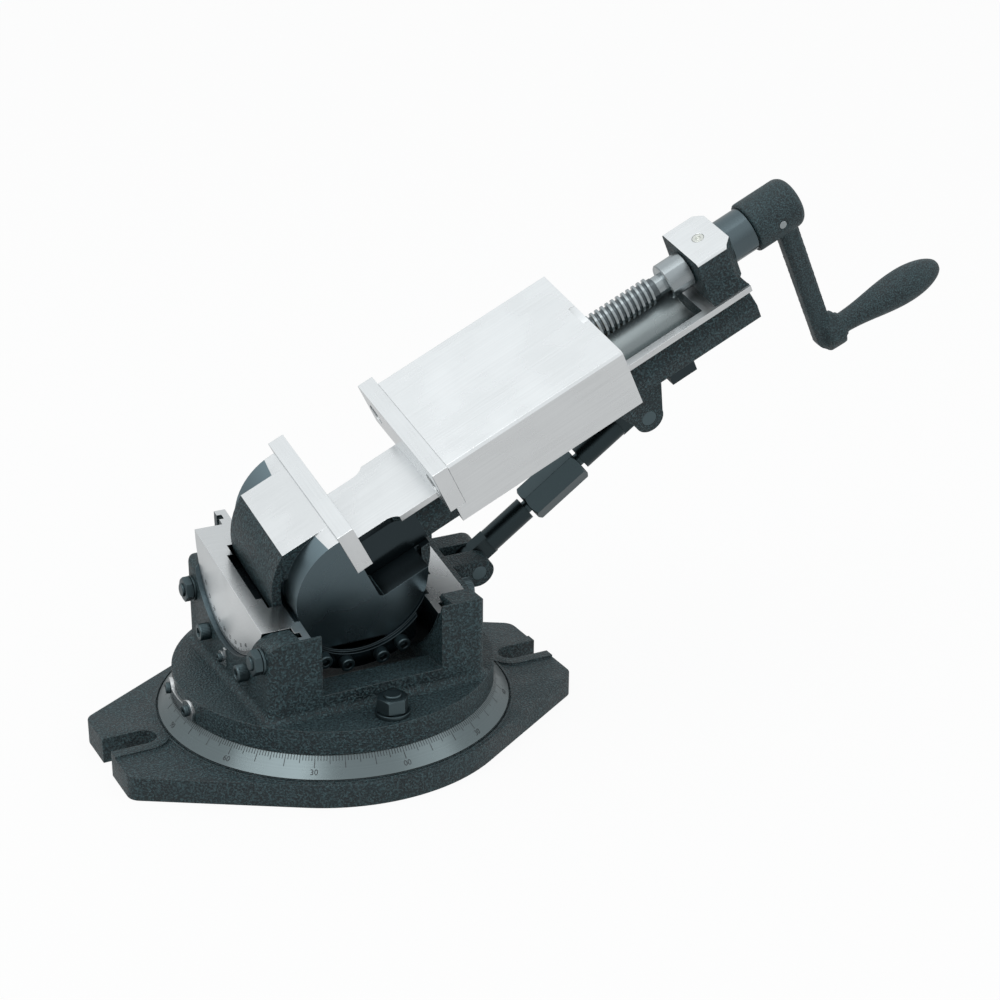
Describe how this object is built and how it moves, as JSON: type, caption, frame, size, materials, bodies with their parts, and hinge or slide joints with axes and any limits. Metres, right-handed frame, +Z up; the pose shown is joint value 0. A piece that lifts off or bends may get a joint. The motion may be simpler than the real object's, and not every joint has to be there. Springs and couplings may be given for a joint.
{
  "type": "three-axis machine vise",
  "caption": "Machine vise on a graduated swivel base, with a rolling saddle, a tilting vise body held by a screwed brace, and a crank that drives the movable jaw.",
  "frame": {"origin": "middle of the base's underside, on the swivel axis", "axes": "+Z up along the swivel axis; +X along the line of the two lugs and of the roll axis, towards the brace and the crank; +Y to the far side of the vise in the pictured pose"},
  "size_m": [0.5383, 0.212, 0.3019],
  "materials": {
    "cast_paint": "hammered",
    "ground_steel": "ground",
    "scale_steel": "satin",
    "turned_steel": "turned",
    "machined_iron": "machined",
    "black_steel": "black oxide",
    "black_brace": "satin",
    "bronze": "machined",
    "oiler_brass": "plated"
  },
  "bodies": {
    "base": {"base_casting": "cast_paint", "swivel_scale_ring": "scale_steel"},
    "turntable": {"turntable_cradle": "cast_paint", "vernier_plate": "scale_steel", "vernier_screws": "black_steel", "swivel_clamp_bolts": "black_steel", "swivel_clamp_washers": "black_steel", "swivel_clamp_nuts": "black_steel", "left_roll_keeper": "machined_iron", "right_roll_keeper": "machined_iron", "roll_keeper_screws": "black_steel", "roll_lock_studs": "black_steel", "roll_lock_washers": "black_steel", "roll_lock_nuts": "black_steel", "roll_pointer": "scale_steel", "roll_pointer_screw": "black_steel"},
    "saddle": {"saddle_casting": "machined_iron", "near_disc_shoe": "machined_iron", "far_disc_shoe": "machined_iron", "disc_shoe_screws": "black_steel", "brace_bracket": "cast_paint", "brace_bracket_screws": "black_steel", "lower_brace_pin": "ground_steel"},
    "vise": {"vise_body": "cast_paint", "fixed_jaw_plate": "ground_steel", "fixed_jaw_screws": "black_steel", "screw_block": "cast_paint", "screw_block_bolts": "black_steel", "ball_oiler": "oiler_brass", "upper_brace_pin": "ground_steel"},
    "jaw": {"movable_jaw": "ground_steel", "movable_jaw_plate": "ground_steel", "movable_jaw_screws": "black_steel", "near_hold_down": "machined_iron", "far_hold_down": "machined_iron", "hold_down_screws": "black_steel", "jaw_nut": "bronze"},
    "screw": {"lead_screw": "turned_steel", "rear_collar": "turned_steel", "collar_set_screw": "black_steel", "crank_handle": "cast_paint", "crank_pin": "turned_steel"},
    "brace_lower": {"brace_lower_tube": "black_brace"},
    "brace_hexagon": {"brace_hex_adjuster": "black_brace"},
    "brace_upper": {"brace_upper_tube": "black_brace"}
  },
  "joints": [
    {"name": "swivel", "type": "hinge", "parent": "base", "child": "turntable", "pos_m": [0, 0, 0.026], "axis": [0, 0, 1], "continuous": true},
    {"name": "roll", "type": "hinge", "parent": "turntable", "child": "saddle", "pos_m": [0, 0, 0.113], "axis": [1, 0, 0], "range_deg": [-58, 32]},
    {"name": "tilt", "type": "hinge", "parent": "saddle", "child": "vise", "pos_m": [0, 0.00056, 0.11056], "axis": [0, -0.9744, -0.225], "range_deg": [-1.7, 16.3]},
    {"name": "screw_spin", "type": "hinge", "parent": "vise", "child": "screw", "pos_m": [0.234, -0.03539, 0.26628], "axis": [0.8771, -0.108, 0.4679], "range_deg": [-5076, 4462]},
    {"name": "jaw_slide", "type": "slide", "parent": "vise", "child": "jaw", "axis": [0.8771, -0.108, 0.4679], "range_m": [-0.0512, 0.045]},
    {"name": "brace_lower_hinge", "type": "hinge", "parent": "saddle", "child": "brace_lower", "pos_m": [0.0924, 0.00781, 0.07919], "axis": [0, -0.9744, -0.225], "range_deg": [-2.11, 20.21]},
    {"name": "brace_extend", "type": "slide", "parent": "brace_lower", "child": "brace_hexagon", "axis": [0.7523, -0.1482, 0.642], "range_m": [-0.0013, 0.01239]},
    {"name": "brace_upper_hinge", "type": "hinge", "parent": "vise", "child": "brace_upper", "pos_m": [0.1949, -0.01239, 0.16666], "axis": [0, -0.9744, -0.225], "range_deg": [-0.41, 3.91]}
  ],
  "couplings": [
    {"joint": "jaw_slide", "follows": "screw_spin", "m_per_rad": 0.00057773},
    {"joint": "brace_lower_hinge", "follows": "tilt", "ratio": 1.24},
    {"joint": "brace_extend", "follows": "tilt", "m_per_rad": 0.0435},
    {"joint": "brace_upper_hinge", "follows": "tilt", "ratio": 0.24}
  ]
}
